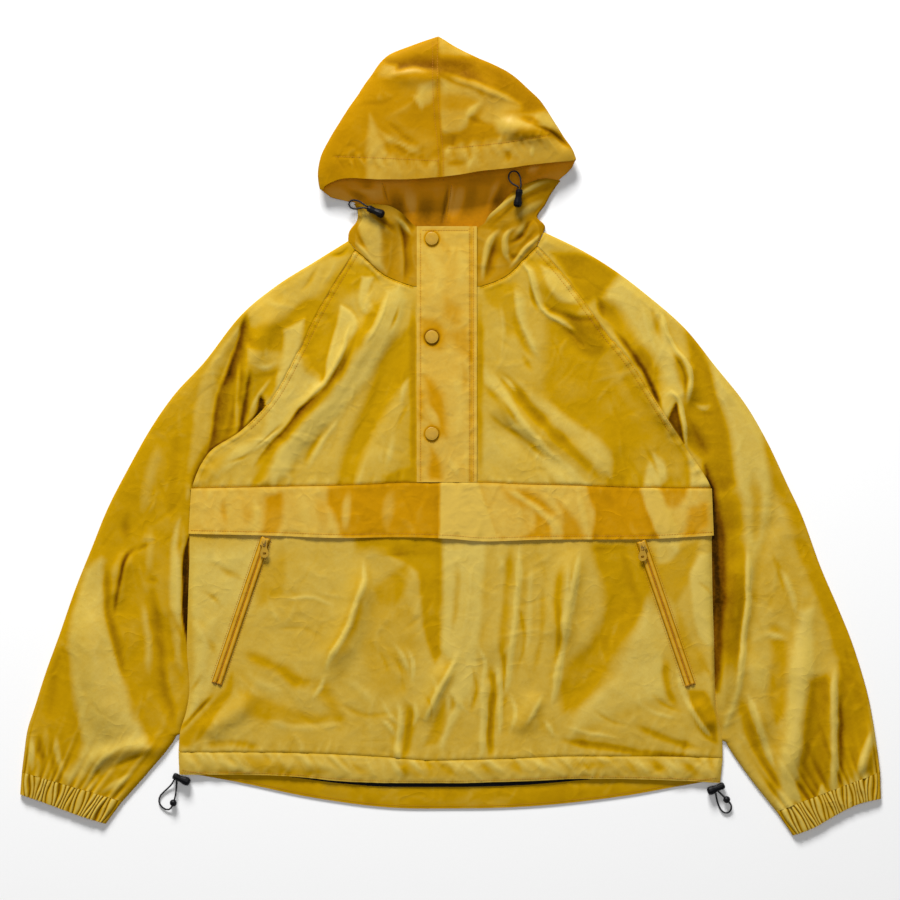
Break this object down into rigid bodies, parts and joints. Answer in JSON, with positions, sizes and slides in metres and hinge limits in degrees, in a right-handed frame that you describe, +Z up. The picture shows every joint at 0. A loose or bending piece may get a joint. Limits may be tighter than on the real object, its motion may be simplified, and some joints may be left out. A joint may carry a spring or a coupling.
{
  "type": "anorak pullover",
  "caption": "Hooded pullover anorak laid flat: snap placket, pocket flap across the front, slanted zip pockets, gathered cuffs and a drawcord hem.",
  "frame": {"origin": "on the floor under the middle of the garment's length and width", "axes": "+X across the garment from the viewer's left to the right, +Y from the hem to the hood, +Z up, away from the floor that the back lies on"},
  "size_m": [1.0348, 0.9544, 0.0303],
  "materials": {
    "coated_cotton": "mustard coated cotton with a low sheen",
    "black_lining": "black mesh lining",
    "yellow_trim": "mustard caps, coil and painted sliders",
    "black_plastic": "black moulded plastic",
    "black_cord": "black elastic cord"
  },
  "bodies": {
    "garment": {"back_panel": "coated_cotton", "chest_left": "coated_cotton", "chest_right": "coated_cotton", "cuff_left": "coated_cotton", "cuff_right": "coated_cotton", "front_lower": "coated_cotton", "hem_back": "coated_cotton", "hem_bead_left": "black_plastic", "hem_bead_right": "black_plastic", "hem_cord_left": "black_cord", "hem_cord_right": "black_cord", "hem_front": "coated_cotton", "hem_lock_left": "black_plastic", "hem_lock_right": "black_plastic", "hood_cord_left": "black_cord", "hood_cord_right": "black_cord", "hood_left": "coated_cotton", "hood_lock_left": "black_plastic", "hood_lock_right": "black_plastic", "hood_right": "coated_cotton", "lining_edge": "black_lining", "placket": "coated_cotton", "pocket_flap": "coated_cotton", "sleeve_left": "coated_cotton", "sleeve_right": "coated_cotton", "slider_left": "yellow_trim", "slider_right": "yellow_trim", "snap_bottom": "yellow_trim", "snap_middle": "yellow_trim", "snap_top": "yellow_trim", "zip_left": "yellow_trim", "zip_right": "yellow_trim"},
    "pull_left": {"pull_tab_left": "yellow_trim"},
    "pull_right": {"pull_tab_right": "yellow_trim"}
  },
  "joints": [
    {"name": "pull_tab_left_hinge", "type": "hinge", "parent": "garment", "child": "pull_left", "pos_m": [-0.2236, -0.12424, 0.01085], "axis": [-1, 0, 0], "range_deg": [0, 150]},
    {"name": "pull_tab_right_hinge", "type": "hinge", "parent": "garment", "child": "pull_right", "pos_m": [0.22962, -0.12823, 0.01085], "axis": [-1, 0, 0], "range_deg": [0, 150]}
  ]
}
